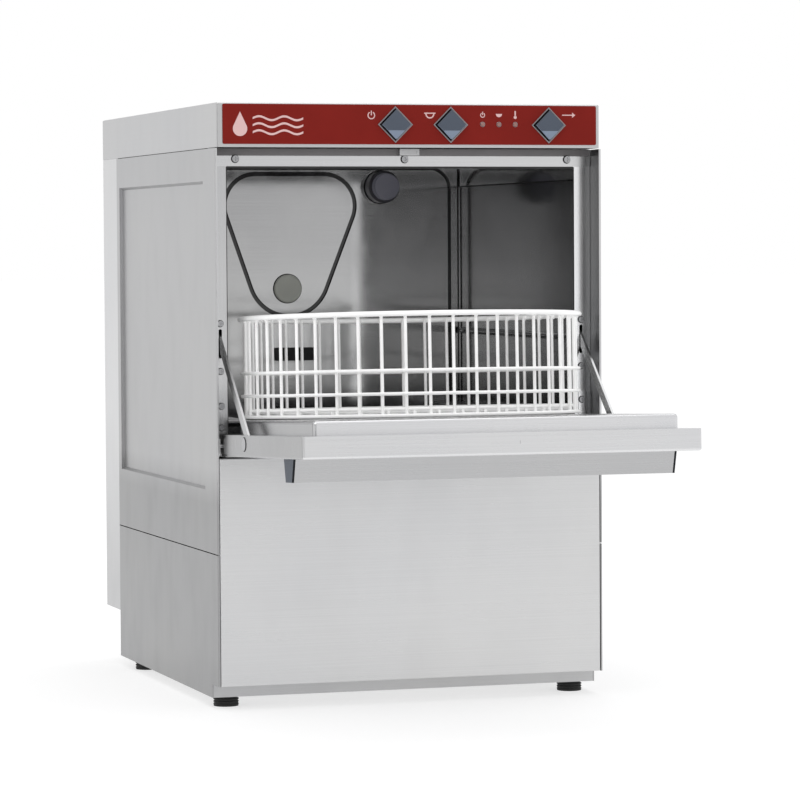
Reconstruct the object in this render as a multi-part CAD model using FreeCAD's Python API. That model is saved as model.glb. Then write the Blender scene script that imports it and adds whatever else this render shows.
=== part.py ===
import FreeCAD, Part
import math
import os

# Under-counter commercial glass and dish washer, drop-down door open, round wire rack half out.
# Units are millimetres. Modelling frame: X to the right, Y into the machine from the plane of the
# hood's front face, Z up. The feet stand at FOOT_BOTTOM. Every shape is moved by SHIFT_Y and SHIFT_Z
# when it is written, so that the floor is at zero.

# Cabinet
HALF_WIDTH = 235.0
HOOD_HALF_WIDTH = 232.8
COVER_HALF_WIDTH = 232.2
HEIGHT = 694.0
HOOD_BOTTOM = 643.0
CABINET_DEPTH = 497.0
OVERALL_DEPTH = 580.0
SHEET = 1.5
SEAM_Z = 176.0
FOOT_BOTTOM = -3.0
BASE_BOTTOM = 9.6
BASE_TOP = 28.0
FRONT_PANEL_BOTTOM = 25.0
FRONT_PANEL_HALF_WIDTH = 232.3
TOE_SETBACK = 29.0
COVER_BOTTOM = 66.5
FRAME_PLANE = 33.0
HOOD_GAP = 1.0
SIDE_PANEL_BACK = 492.6

# Wash chamber
TANK_HALF_WIDTH = 215.0
TANK_FRONT = 34.5
TANK_BACK = 466.0
TANK_TOP = 633.0
TANK_FLOOR = 189.0
MOUTH_BOTTOM = 311.0
MOUTH_TOP = 622.0
MOUTH_HALF_WIDTH = 213.2
ARM_Y = 251.0
ARM_Z = 265.0
RAIL_TOP = 327.5

# Door
PIVOT_Y = 10.0
PIVOT_Z = 300.9
DOOR_HALF_WIDTH = 227.4
DOOR_FRONT = -328.0
DOOR_BACK = 12.0
DOOR_OUTER_Z = 289.4
DOOR_INNER_Z = 313.9
LINER_TOP_Z = 330.1
OPEN_TILT = 2.39
HANDLE_BOTTOM = 263.9
HANDLE_HALF_WIDTH = 221.0
HANDLE_CAP = 2.5
STAY_PIN_Y = -92.0
STAY_PIN_Z = 303.9
STAY_LENGTH = 190.0
STAY_IN = 220.0
STAY_OUT = 222.5

# Rack
RACK_Y = 4.8
RACK_BOTTOM = 331.8
RACK_RIM_Z = 446.8
UPRIGHT_CIRCLE = 192.2
UPRIGHT_COUNT = 45
UPRIGHT_TURN = 2.84
WIRE_R = 1.8

# Controls
BUTTON_Z = 669.5
BUTTON_X = (-19.3, 48.1, 169.1)
LAMP_X = (87.5, 107.6, 127.7)
LAMP_Z = 670.3

SHIFT_Y = -125.95
SHIFT_Z = -FOOT_BOTTOM

Vector = FreeCAD.Vector
os.makedirs("parts", exist_ok=True)


def block(x0, x1, y0, y1, z0, z1):
    """Box between two corners."""
    return Part.makeBox(x1 - x0, y1 - y0, z1 - z0, Vector(x0, y0, z0))


def rod(start, end, radius):
    """Cylinder between two points."""
    a = Vector(*start)
    b = Vector(*end)
    return Part.makeCylinder(radius, (b - a).Length, a, b - a)


def tube(start, end, outer, inner):
    """Hollow cylinder between two points."""
    return rod(start, end, outer).cut(rod(start, end, inner))


def ring(radius, wire, center):
    """Horizontal wire ring."""
    return Part.makeTorus(radius, wire, Vector(*center), Vector(0, 0, 1))


def slab_yz(points, x0, x1):
    """Polygon in the Y-Z plane, extruded along X."""
    corners = [Vector(x0, y, z) for y, z in points]
    face = Part.Face(Part.makePolygon(corners + corners[:1]))
    return face.extrude(Vector(x1 - x0, 0, 0))


def slab_xz(points, y0, y1):
    """Polygon in the X-Z plane, extruded along Y."""
    corners = [Vector(x, y0, z) for x, z in points]
    face = Part.Face(Part.makePolygon(corners + corners[:1]))
    return face.extrude(Vector(0, y1 - y0, 0))


def turned(shape, degrees, center, axis):
    """Copy of a shape turned about an axis through a point."""
    copy = shape.copy()
    copy.rotate(Vector(*center), Vector(*axis), degrees)
    return copy


def mirrored(shape):
    """Copy of a shape on the other side of the X = 0 plane."""
    return shape.mirror(Vector(0, 0, 0), Vector(1, 0, 0))


def both_sides(shape):
    """A shape and its mirror image."""
    return [shape, mirrored(shape)]


def fuse_all(shapes):
    """One solid from shapes that touch."""
    result = shapes[0]
    if len(shapes) > 1:
        result = result.multiFuse(shapes[1:])
    return result.removeSplitter()


def cut_all(shape, tools):
    """Take every tool away from a shape."""
    return shape.cut(Part.makeCompound(tools))


def rounded_edges(shape, radius, wanted):
    """Fillet the straight edges whose middle point passes a test."""
    edges = []
    for edge in shape.Edges:
        if wanted(edge.BoundBox.Center, edge.BoundBox):
            edges.append(edge)
    return shape.makeFillet(radius, edges)


def rounded_prism_y(x0, x1, z0, z1, y0, y1, radius):
    """Box with rounded edges along Y."""
    shape = block(x0, x1, y0, y1, z0, z1)
    edges = [edge for edge in shape.Edges if edge.BoundBox.YLength > 0.5 * (y1 - y0)]
    return shape.makeFillet(radius, edges)


def diamond(center_x, side, y0, y1):
    """Square bar along Y, standing on a corner."""
    half = side / 2.0
    square = block(center_x - half, center_x + half, y0, y1, BUTTON_Z - half, BUTTON_Z + half)
    return turned(square, 45, (center_x, 0, BUTTON_Z), (0, 1, 0))


def screw_head(x, z, y_face, radius, height):
    """Pan head on a face that looks towards -Y, with a cross recess."""
    head = rod((x, y_face - height, z), (x, y_face, z), radius)
    slots = []
    for angle in (0, 90):
        bar = block(x - radius * 0.6, x + radius * 0.6, y_face - height - 0.1, y_face - height * 0.55,
                    z - 0.5, z + 0.5)
        slots.append(turned(bar, angle, (x, 0, z), (0, 1, 0)))
    return cut_all(head, slots)


def pipe_run(points, radius):
    """Round bar through a list of points with ball corners."""
    pieces = []
    for start, end in zip(points[:-1], points[1:]):
        pieces.append(rod(start, end, radius))
    for point in points[1:-1]:
        pieces.append(Part.makeSphere(radius, Vector(*point)))
    return fuse_all(pieces)


def write(name, shape):
    """Write one node as a STEP file in the shared frame."""
    solids = shape
    if isinstance(shape, list):
        solids = []
        for item in shape:
            solids.extend(item.Solids)
        solids = solids[0] if len(solids) == 1 else Part.makeCompound(solids)
    solids = solids.copy()
    solids.translate(Vector(0, SHIFT_Y, SHIFT_Z))
    solids.exportStep("parts/" + name + ".step")
    box = solids.BoundBox
    print("%-24s solids %2d  X %.1f..%.1f  Y %.1f..%.1f  Z %.1f..%.1f" % (
        name, len(solids.Solids), box.XMin, box.XMax, box.YMin, box.YMax, box.ZMin, box.ZMax))


# ---------------------------------------------------------------- cabinet shell

def base_chassis():
    """Open tray that carries the machine."""
    tray = block(-233.4, 233.4, TOE_SETBACK, CABINET_DEPTH - 1.6, BASE_BOTTOM, BASE_TOP)
    hollow = block(-231.4, 231.4, TOE_SETBACK + 2, CABINET_DEPTH - 3.6, BASE_BOTTOM + 2, BASE_TOP + 1)
    holes = [rod((x, y, 0), (x, y, 30), 4.3) for x, y in foot_centres()]
    return cut_all(tray, [hollow] + holes)


def foot_centres():
    """Centres of the four feet."""
    return [(x, y) for x in (-212.3, 212.3) for y in (54.0, 443.0)]


def feet():
    """Four round feet, each with its threaded stud."""
    result = []
    for x, y in foot_centres():
        pad = Part.makeCone(14.5, 13.0, BASE_BOTTOM - FOOT_BOTTOM, Vector(x, y, FOOT_BOTTOM), Vector(0, 0, 1))
        stud = rod((x, y, BASE_BOTTOM - 1), (x, y, 24), 4.0)
        result.append(fuse_all([pad, stud]))
    return result


def lower_side_panel():
    """Right lower side panel with its front fold and toe cut."""
    foot = FRONT_PANEL_BOTTOM
    outline = [(0, foot), (0, SEAM_Z), (SIDE_PANEL_BACK, SEAM_Z), (SIDE_PANEL_BACK, BASE_BOTTOM),
               (TOE_SETBACK, BASE_BOTTOM), (TOE_SETBACK, foot)]
    sheet = slab_yz(outline, HALF_WIDTH - SHEET, HALF_WIDTH)
    fold = block(FRONT_PANEL_HALF_WIDTH + 0.4, HALF_WIDTH, 0, SHEET, foot, SEAM_Z)
    return rounded_front_edge(fuse_all([sheet, fold]))


def rounded_front_edge(shape):
    """Round the outer front corner of a side panel."""
    return rounded_edges(shape, 1.4, lambda c, b: b.ZLength > 60 and abs(c.y) < 0.01
                         and abs(c.x - HALF_WIDTH) < 0.01)


def upper_side_panel():
    """Right upper side panel: recessed field, front hem and lower front fold."""
    z0 = SEAM_Z + 1.2
    z1 = HOOD_BOTTOM - HOOD_GAP
    sheet = block(HALF_WIDTH - SHEET, HALF_WIDTH, 0, SIDE_PANEL_BACK, z0, z1)
    sheet = sheet.cut(block(230, 236, 56, 476.5, 251, 603))
    dish = recess_solid(229.1, SHEET).common(block(220, HALF_WIDTH, 0, SIDE_PANEL_BACK, z0, z1))
    hem = block(232.2, HALF_WIDTH - SHEET, 0, 12, 290, z1)
    fold = block(FRONT_PANEL_HALF_WIDTH + 0.4, HALF_WIDTH - SHEET, 0, SHEET, z0, 290)
    panel = fuse_all([sheet, dish, hem, fold]).cut(recess_solid(230.6, 0))
    return rounded_front_edge(panel)


def recess_solid(inner_x, grow):
    """Space of the pressed field in a side panel: sloping at its top and bottom edges."""
    low = 249.0 - grow
    high = 605.0 + grow
    points = [(236, low), (HALF_WIDTH, low), (inner_x, low + 3), (inner_x, high - 3), (HALF_WIDTH, high), (236, high)]
    return slab_xz(points, 54.0 - grow, 478.0 + grow)


def front_panel():
    """Removable lower front panel, folded back on all four sides."""
    half = FRONT_PANEL_HALF_WIDTH
    foot = FRONT_PANEL_BOTTOM
    panel = block(-half, half, 0, 20, foot, 287)
    panel = rounded_edges(panel, 1.4, lambda c, b: abs(c.y) < 0.01)
    return panel.cut(block(-half + 1.2, half - 1.2, 1.2, 21, foot + 1.2, 285.8))


def rear_panel():
    """Flat rear panel with the service openings."""
    sheet = block(-231.0, 231.0, CABINET_DEPTH - SHEET, CABINET_DEPTH, 28.5, 642.5)
    openings = [
        rod((-140, 490, 46), (-140, 500, 46), 13.6),
        rod((0, 490, 46), (0, 500, 46), 12.4),
        rod((140, 490, 46), (140, 500, 46), 8.2),
    ]
    return cut_all(sheet, openings)


def rear_cover():
    """Rear service cover with rows of vent slots."""
    half = COVER_HALF_WIDTH
    shell = block(-half, half, CABINET_DEPTH, OVERALL_DEPTH, COVER_BOTTOM, 642.9)
    inner = block(-half + SHEET, half - SHEET, CABINET_DEPTH - 1, OVERALL_DEPTH - SHEET, COVER_BOTTOM + SHEET, 644)
    slots = []
    for row in range(10):
        for center in (-110, 0, 110):
            z = 470 + row * 13
            slots.append(rounded_prism_y(center - 42, center + 42, z - 2.5, z + 2.5, 570, 585, 2.4))
    return cut_all(shell, [inner] + slots)


def hood():
    """Top hood, open underneath, pierced for the buttons and lamps."""
    half = HOOD_HALF_WIDTH
    shell = block(-half, half, 0, OVERALL_DEPTH, HOOD_BOTTOM, HEIGHT)
    shell = rounded_edges(shell, 2.0, lambda c, b: c.z > HOOD_BOTTOM + 1)
    inner = block(-half + SHEET, half - SHEET, SHEET, OVERALL_DEPTH - SHEET, HOOD_BOTTOM - 1, HEIGHT - SHEET)
    return cut_all(shell, [inner] + control_holes())


def control_holes():
    """Openings for three push-buttons and three lamps."""
    tools = [diamond(x, 28.4, -5, 5) for x in BUTTON_X]
    tools += [rod((x, -5, LAMP_Z), (x, 5, LAMP_Z), 2.55) for x in LAMP_X]
    return tools


def control_label():
    """Coloured fascia plate on the hood's front face."""
    plate = rounded_prism_y(-225.5, 228.6, 646.6, 692.4, -0.9, 0, 2.0)
    return cut_all(plate, control_holes())


def front_frame():
    """Flat frame round the mouth, slotted for the door stays."""
    sheet = block(-233.2, 233.2, FRAME_PLANE, 34.4, 287.6, 642.6)
    mouth = rounded_prism_y(-MOUTH_HALF_WIDTH, MOUTH_HALF_WIDTH, MOUTH_BOTTOM, MOUTH_TOP, 30, 36, 1.5)
    slot = rounded_prism_y(STAY_IN - 0.7, STAY_OUT + 0.7, 401, 434.6, 30, 36, 1.8)
    return cut_all(sheet, [mouth] + both_sides(slot))


def mouth_seal():
    """Rubber lip inside the mouth, close round the closed door's raised pan."""
    half = MOUTH_HALF_WIDTH
    outer = rounded_prism_y(-half + 0.1, half - 0.1, MOUTH_BOTTOM + 0.1, MOUTH_TOP - 0.1, FRAME_PLANE, 34.4, 1.4)
    return outer.cut(rounded_prism_y(-half + 0.9, half - 0.9, 314.0, 619.6, 32, 37, 1.0))


def top_rail():
    """Bright strip above the mouth, from side panel to side panel."""
    return rounded_prism_y(-232.9, 232.9, MOUTH_TOP, 634, 31.4, FRAME_PLANE, 0.7)


def frame_screws():
    """Pan heads on the top strip, round the stay slots and on the hinge brackets."""
    heads = [screw_head(x, 630.4, 31.4, 4.0, 2.6) for x in (-202.5, 2, 203.5)]
    for x in (-221.2, 221.2):
        heads += [screw_head(x, z, FRAME_PLANE, 3.4, 2.0) for z in (386, 441)]
        heads += [screw_head(x, z, 31, 3.4, 2.0) for z in (321, 346)]
    return heads


def door_catch():
    """Magnetic catch block under the hood."""
    body = block(-6, 18, 24.2, FRAME_PLANE, 634.6, 642.2)
    return body.cut(block(-3, 15, 24, 25, 637.0, 640.0))


def hinge_brackets():
    """Two angle brackets that carry the door pins."""
    ear = block(229.8, 231.8, 4, FRAME_PLANE, 292, 310)
    foot = block(217.5, 231.8, 31, FRAME_PLANE, 292, 356)
    bore = rod((229, PIVOT_Y, PIVOT_Z), (233, PIVOT_Y, PIVOT_Z), 3.06)
    return both_sides(fuse_all([ear, foot]).cut(bore))


# ---------------------------------------------------------------- wash chamber

def tank_side():
    """Right chamber wall with its horizontal bead."""
    wall = block(TANK_HALF_WIDTH, 216.2, TANK_FRONT, TANK_BACK, TANK_FLOOR, TANK_TOP)
    bead = rod((TANK_HALF_WIDTH, 46, 420), (TANK_HALF_WIDTH, 455, 420), 4.0)
    return fuse_all([wall, bead])


def hull_prism(circles, grow, y0, y1):
    """Solid hull of circles in the X-Z plane."""
    pieces = []
    for x, z, radius in circles:
        pieces.append(rod((x, y0, z), (x, y1, z), radius + grow))
    count = len(circles)
    corners = []
    for index in range(count):
        x0, z0, r0 = circles[index]
        x1, z1, r1 = circles[(index + 1) % count]
        r0 += grow
        r1 += grow
        length = math.hypot(x1 - x0, z1 - z0)
        base = math.atan2(z1 - z0, x1 - x0)
        swing = math.acos((r0 - r1) / length)
        for x, z, radius in ((x0, z0, r0), (x1, z1, r1)):
            corners.append((x + radius * math.cos(base - swing), z + radius * math.sin(base - swing)))
    pieces.append(slab_xz(corners, y0, y1))
    return fuse_all(pieces)


def tank_back():
    """Back wall with a rounded frame, a rounded triangle and two corner lines pressed backwards."""
    back = TANK_BACK + SHEET
    wall = block(-216.2, 216.2, TANK_BACK, back, TANK_FLOOR, TANK_TOP)
    circles = [(-60.0, 582.0, 43.5), (-16.0, 494.0, 56.0), (32.0, 582.0, 43.5)]
    triangle_shell = hull_prism(circles, 1.4, back, back + 3.0).cut(hull_prism(circles, -6.9, back, back + 3.0))
    triangle = hull_prism(circles, 0, 450, back + 1.6).cut(hull_prism(circles, -5.5, 450, back + 1.6))
    frame_shell = rounded_prism_y(-204.7, 204.7, 298.6, 633.6, back, back + 3.0, 29)
    frame_shell = frame_shell.cut(rounded_prism_y(-197.4, 197.4, 305.9, 626.3, back - 1, back + 4, 22))
    frame = rounded_prism_y(-203.3, 203.3, 300, 632.2, 450, back + 1.6, 28)
    frame = frame.cut(rounded_prism_y(-198.8, 198.8, 304.5, 627.7, 449, back + 2, 23.5))
    corner_shell = block(210.2, 215.6, back, back + 3.0, 194, 631)
    corner = block(211.8, 214.0, 450, back + 1.6, 196, 629)
    shells = [wall, triangle_shell, frame_shell] + both_sides(corner_shell)
    return cut_all(fuse_all(shells), [triangle, frame] + both_sides(corner))


def tank_ceiling():
    """Chamber roof with side skirts."""
    roof = block(-216.2, 216.2, TANK_FRONT, TANK_BACK + SHEET, TANK_TOP, 634.2)
    skirt = block(213.8, 214.9, 36, TANK_BACK - 1, 607, TANK_TOP)
    return fuse_all([roof] + both_sides(skirt))


def tank_floor():
    """Chamber floor with its sump."""
    floor = block(-214.9, 214.9, 34.6, TANK_BACK - 0.1, TANK_FLOOR, TANK_FLOOR + 1.2)
    sump = block(-70, 70, 60, 180, 140, TANK_FLOOR + 0.6)
    hollow = block(-68.8, 68.8, 61.2, 178.8, 141.2, TANK_FLOOR + 2)
    bores = [
        rod((0, ARM_Y, 180), (0, ARM_Y, 200), 16.1),
        rod((-150, 400, 180), (-150, 400, 200), 11.0),
        rod((60, 120, 160), (80, 120, 160), 11.0),
    ]
    return cut_all(fuse_all([floor, sump]), [hollow] + bores)


def wall_plug():
    """Round grey plug on the back wall."""
    plug = rod((-18.2, TANK_BACK - 5, 476), (-18.2, TANK_BACK, 476), 18.0)
    return rounded_edges(plug, 2.0, lambda c, b: c.y < TANK_BACK - 4)


def wall_cap():
    """Deep dark screw cap high on the back wall, with a slanting grip bar across its face."""
    x = 107.0
    z = 606.0
    face = TANK_BACK - 20
    cap = rod((x, face, z), (x, TANK_BACK, z), 20.8)
    cap = rounded_edges(cap, 1.5, lambda c, b: c.y < face + 1)
    grip = rounded_prism_y(x - 15, x + 15, z - 8.5, z - 4, face - 2, face + 1, 1.5)
    return fuse_all([cap, turned(grip, 50, (x, face, z), (0, 1, 0))])


def level_sensor():
    """Low dark sensor plate on the back wall."""
    return rounded_prism_y(-37, 17, 383.6, 400.3, TANK_BACK - 4, TANK_BACK, 3)


def rack_rails():
    """Two angle rails that carry the rack."""
    ledge = block(178, 214.9, 42, 459, RAIL_TOP - 1.5, RAIL_TOP)
    leg = block(213.4, 214.9, 42, 459, RAIL_TOP - 20.0, RAIL_TOP - 0.7)
    return both_sides(fuse_all([ledge, leg]))


def filter_plates():
    """Two perforated plates over the tank."""
    plate = block(1, TANK_HALF_WIDTH, 36, TANK_BACK - 1, 262, 263.2)
    slots = []
    for row in range(14):
        for column in range(6):
            x = 30 + column * 32
            y = 58 + row * 28
            if math.hypot(x, y - ARM_Y) > 46 and math.hypot(x, y - 120) > 66:
                slots.append(block(x - 11, x + 11, y - 2, y + 2, 261, 265))
    around = [rod((0, ARM_Y, 260), (0, ARM_Y, 266), 24), rod((0, 120, 260), (0, 120, 266), 42)]
    right = cut_all(plate, slots + around)
    left = mirrored(right).cut(rod((-150, 400, 260), (-150, 400, 266), 17))
    return [right, left]


def suction_filter():
    """Cylindrical filter standing in the sump."""
    basket = rod((0, 120, 146), (0, 120, 263.3), 40)
    flange = rod((0, 120, 263.3), (0, 120, 265.3), 47)
    hollow = rod((0, 120, 148), (0, 120, 270), 37.5)
    return fuse_all([basket, flange]).cut(hollow)


def arm_hub():
    """Fixed feed post that both arms turn on."""
    return cut_all(fuse_all([
        rod((0, ARM_Y, 175), (0, ARM_Y, ARM_Z), 16),
        rod((0, ARM_Y, ARM_Z), (0, ARM_Y, ARM_Z + 8), 22),
        rod((0, ARM_Y, ARM_Z + 8), (0, ARM_Y, ARM_Z + 33), 15),
        rod((0, ARM_Y, ARM_Z + 33), (0, ARM_Y, ARM_Z + 38), 9),
        rod((0, ARM_Y, ARM_Z + 38), (0, ARM_Y, ARM_Z + 52), 6),
    ]), [rod((0, ARM_Y, 174), (0, ARM_Y, ARM_Z + 28), 12),
         rod((0, ARM_Y, ARM_Z + 27), (0, ARM_Y, ARM_Z + 48), 4)])


def hub_cap():
    """Screw cap that keeps the arms on the post."""
    cap = rod((0, ARM_Y, ARM_Z + 50.5), (0, ARM_Y, ARM_Z + 57), 10)
    return cap.cut(rod((0, ARM_Y, ARM_Z + 50), (0, ARM_Y, ARM_Z + 52), 6))


def wash_arm():
    """Wide wash arm with jets along its top."""
    hub = rod((0, ARM_Y, ARM_Z + 8.6), (0, ARM_Y, ARM_Z + 31), 26)
    beam = rounded_beam(185, 11, ARM_Z + 11, ARM_Z + 26)
    jets = []
    for distance in (45, 80, 115, 150, 172):
        for side in (-1, 1):
            x = side * distance
            jets.append(block(x - 1.5, x + 1.5, ARM_Y - 7, ARM_Y + 7, ARM_Z + 24, ARM_Z + 28))
    bore = rod((0, ARM_Y, ARM_Z + 8), (0, ARM_Y, ARM_Z + 32), 15.06)
    return cut_all(fuse_all([hub, beam]), jets + [bore])


def rounded_beam(reach, half_width, z0, z1):
    """Long bar across the chamber with round ends."""
    middle = block(-reach + half_width, reach - half_width, ARM_Y - half_width, ARM_Y + half_width, z0, z1)
    ends = [rod((x, ARM_Y, z0), (x, ARM_Y, z1), half_width) for x in (-reach + half_width, reach - half_width)]
    return fuse_all([middle] + ends)


def rinse_arm():
    """Slim rinse arm above the wash arm."""
    hub = rod((0, ARM_Y, ARM_Z + 38.5), (0, ARM_Y, ARM_Z + 50), 12)
    beam = rod((0, ARM_Y - 170, ARM_Z + 44), (0, ARM_Y + 170, ARM_Z + 44), 4.6)
    jets = []
    for y in (-160, -110, -60, 60, 110, 160):
        jets.append(rod((0, ARM_Y + y, ARM_Z + 46), (0, ARM_Y + y, ARM_Z + 50), 1.2))
    bore = rod((0, ARM_Y, ARM_Z + 38), (0, ARM_Y, ARM_Z + 51), 6.06)
    return cut_all(fuse_all([hub, beam]), jets + [bore])


def overflow_pipe():
    """Lift-out standpipe with a grip at the top."""
    body = tube((-150, 400, 190.4), (-150, 400, 262), 14.5, 12)
    head = rod((-150, 400, 262), (-150, 400, 266), 14.5)
    grip = block(-160, -140, 398, 402, 265, 275)
    grip = rounded_edges(grip, 3.0, lambda c, b: c.z > 274 and b.YLength > 3)
    windows = block(-166, -134, 397, 403, 248, 256)
    return fuse_all([body.cut(windows), head, grip])


def tank_heater():
    """Loop heating element on the back wall."""
    legs = [rod((x, 458, 215), (x, 335, 215), 4.5) for x in (-45, 45)]
    bend = Part.makeTorus(45, 4.5, Vector(0, 335, 215), Vector(0, 0, 1), -180, 180, 180)
    bend.rotate(Vector(0, 335, 215), Vector(0, 0, 1), 180)
    plate = block(-64, 64, 458, TANK_BACK, 202, 228)
    return fuse_all(legs + [bend, plate])


# ---------------------------------------------------------------- machinery under the tank

def boiler():
    """Rinse water heater."""
    shell = rod((-155, 150, 93), (-155, 440, 93), 62)
    shell = rounded_edges(shell, 14, lambda c, b: True if b.YLength < 1 else False)
    stubs = [rod((-155, y, 150), (-155, y, 168), 8) for y in (190, 400)]
    return fuse_all([shell] + stubs)


def wash_pump_motor():
    """Pump motor with a ribbed body and a foot."""
    body = rod((110, 249, 82), (110, 400, 82), 44)
    ribs = [rod((110, 262 + i * 12, 82), (110, 266 + i * 12, 82), 48) for i in range(10)]
    foot = block(80, 140, 270, 370, 28.2, 60)
    return fuse_all([body, foot] + ribs)


def wash_pump_volute():
    """Pump housing with suction and delivery stubs."""
    return fuse_all([
        rod((110, 206, 82), (110, 248.8, 82), 58),
        rod((110, 180, 82), (110, 206, 82), 22),
        rod((72, 227, 82), (72, 227, 152), 15),
    ])


def hoses():
    """Suction and delivery hoses."""
    suction = pipe_run([(70.1, 120, 160), (110, 120, 160), (110, 120, 82), (110, 179.9, 82)], 15)
    delivery = pipe_run([(72, 227, 152.1), (72, 227, 163), (0, ARM_Y, 163), (0, ARM_Y, 174.9)], 11)
    return [suction, delivery]


def inlet_valve():
    """Water inlet valve with its threaded connection through the rear panel."""
    body = block(-162, -118, 464, 489, 31, 61)
    coil = rod((-140, 476, 61), (-140, 476, 86), 11)
    neck = rod((-140, 488, 46), (-140, 498, 46), 12.0)
    spigot = rod((-140, 498, 46), (-140, 526, 46), 13.2)
    bore = rod((-140, 502, 46), (-140, 527, 46), 9.0)
    return fuse_all([body, coil, neck, spigot]).cut(bore)


def drain_outlet():
    """Drain spigot through the rear panel."""
    elbow = Part.makeSphere(17, Vector(0, 474, 50))
    riser = rod((0, 474, 50), (0, 474, 100), 14)
    neck = rod((0, 474, 46), (0, 498, 46), 11.0)
    spigot = rod((0, 498, 46), (0, 526, 46), 12.0)
    bore = rod((0, 502, 46), (0, 527, 46), 9.0)
    return fuse_all([elbow, riser, neck, spigot]).cut(bore)


def cable_gland():
    """Cable gland through the rear panel."""
    neck = rod((140, 490, 46), (140, 498, 46), 8.0)
    nut = rod((140, 489, 46), (140, 495.4, 46), 12.0)
    head = rod((140, 497.1, 46), (140, 512, 46), 12.0)
    bore = rod((140, 488, 46), (140, 513, 46), 5.0)
    return fuse_all([neck, nut, head]).cut(bore)


# ---------------------------------------------------------------- controls

def button_frames():
    """Three square bezels standing on a corner."""
    frames = []
    for x in BUTTON_X:
        flange = diamond(x, 30.0, -2.2, -0.9)
        sleeve = diamond(x, 28.2, -1.5, 8)
        shell = fuse_all([flange, sleeve]).cut(diamond(x, 27.0, -3, 9))
        frames.append(shell.cut(diamond(x, 28.0, -3, -1.5)))
    return frames


def push_button(x):
    """Square push-button with a stem; the lower corner of its face slopes back."""
    face = -6.6
    cap = diamond(x, 24.8, face, 3)
    cap = rounded_edges(cap, 0.5, lambda c, b: abs(c.y - face) < 0.01)
    crease = BUTTON_Z - 6.8
    wedge = slab_yz([(face - 1, crease), (face, crease), (face + 1.6, crease - 10), (face - 1, crease - 10)],
                    x - 20, x + 20)
    cap = cap.cut(wedge)
    stem = block(x - 3, x + 3, 3, 16, BUTTON_Z - 3, BUTTON_Z + 3)
    return fuse_all([cap, stem])


def switch_block():
    """Micro-switch carrier behind the fascia."""
    plate = block(-45, 205, 46, 48, 648, 690)
    bodies = [block(x - 14, x + 14, 20.5, 46, BUTTON_Z - 16, BUTTON_Z + 16) for x in BUTTON_X]
    return fuse_all([plate] + bodies)


def pilot_lights():
    """Three small lamps."""
    lamps = []
    for x in LAMP_X:
        lamp = rod((x, -2.0, LAMP_Z), (x, 12, LAMP_Z), 2.45)
        lamps.append(rounded_edges(lamp, 0.9, lambda c, b: c.y < -1.9))
    return lamps


def arc_strip(x, z, inner, outer, start, end):
    """Flat arc on the fascia."""
    points = []
    steps = 18
    for index in range(steps + 1):
        angle = math.radians(start + (end - start) * index / steps)
        points.append((x + outer * math.cos(angle), z + outer * math.sin(angle)))
    for index in range(steps, -1, -1):
        angle = math.radians(start + (end - start) * index / steps)
        points.append((x + inner * math.cos(angle), z + inner * math.sin(angle)))
    return slab_xz(points, -1.2, -0.9)


def flat_bar(x0, x1, z0, z1):
    """Flat rectangle on the fascia."""
    return block(x0, x1, -1.2, -0.9, z0, z1)


def drop_mark(x, z, radius):
    """Plain water drop, point upwards."""
    points = [(x, z + 2.3 * radius)]
    for index in range(29):
        angle = math.radians(30 - 240 * index / 28.0)
        points.append((x + radius * math.cos(angle), z + radius * math.sin(angle)))
    return slab_xz(points, -1.2, -0.9)


def wave_mark(x, z, span, thickness):
    """Plain wavy line."""
    upper = []
    lower = []
    for index in range(41):
        position = x + span * index / 40.0
        height = z + 2.2 * math.sin(2 * math.pi * index / 20.0)
        upper.append((position, height + thickness / 2))
        lower.append((position, height - thickness / 2))
    return slab_xz(upper + lower[::-1], -1.2, -0.9)


def label_marks():
    """Raised plain marks: a drop with waves, and symbols over the buttons and lamps."""
    marks = [drop_mark(-205, 664, 8.5)]
    marks += [wave_mark(-190, z, 60, 2.4) for z in (660, 668, 676)]
    marks += [arc_strip(-48.2, 680, 3.4, 4.6, 120, 420), flat_bar(-48.8, -47.6, 680, 685.4)]
    marks += [arc_strip(22.8, 682.2, 4.0, 5.5, 180, 360), flat_bar(15.9, 29.7, 682.2, 683.5)]
    marks += [arc_strip(LAMP_X[0], 681, 2.0, 3.0, 120, 420), flat_bar(LAMP_X[0] - 0.5, LAMP_X[0] + 0.5, 681, 685)]
    marks += [arc_strip(LAMP_X[1], 682.5, 0.0, 3.8, 180, 360)]
    marks += [flat_bar(LAMP_X[2] - 0.8, LAMP_X[2] + 0.8, 680, 686), arc_strip(LAMP_X[2], 678.6, 0.0, 1.9, 0, 359)]
    marks += [flat_bar(186, 198.5, 680.9, 682.1), slab_xz([(198.5, 678.5), (202.5, 681.5), (198.5, 684.5)], -1.2, -0.9)]
    return marks


# ---------------------------------------------------------------- door

def tilted(shape):
    """Door pieces lie at the small rest tilt of the open door."""
    return turned(shape, -OPEN_TILT, (0, PIVOT_Y, PIVOT_Z), (1, 0, 0))


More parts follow.
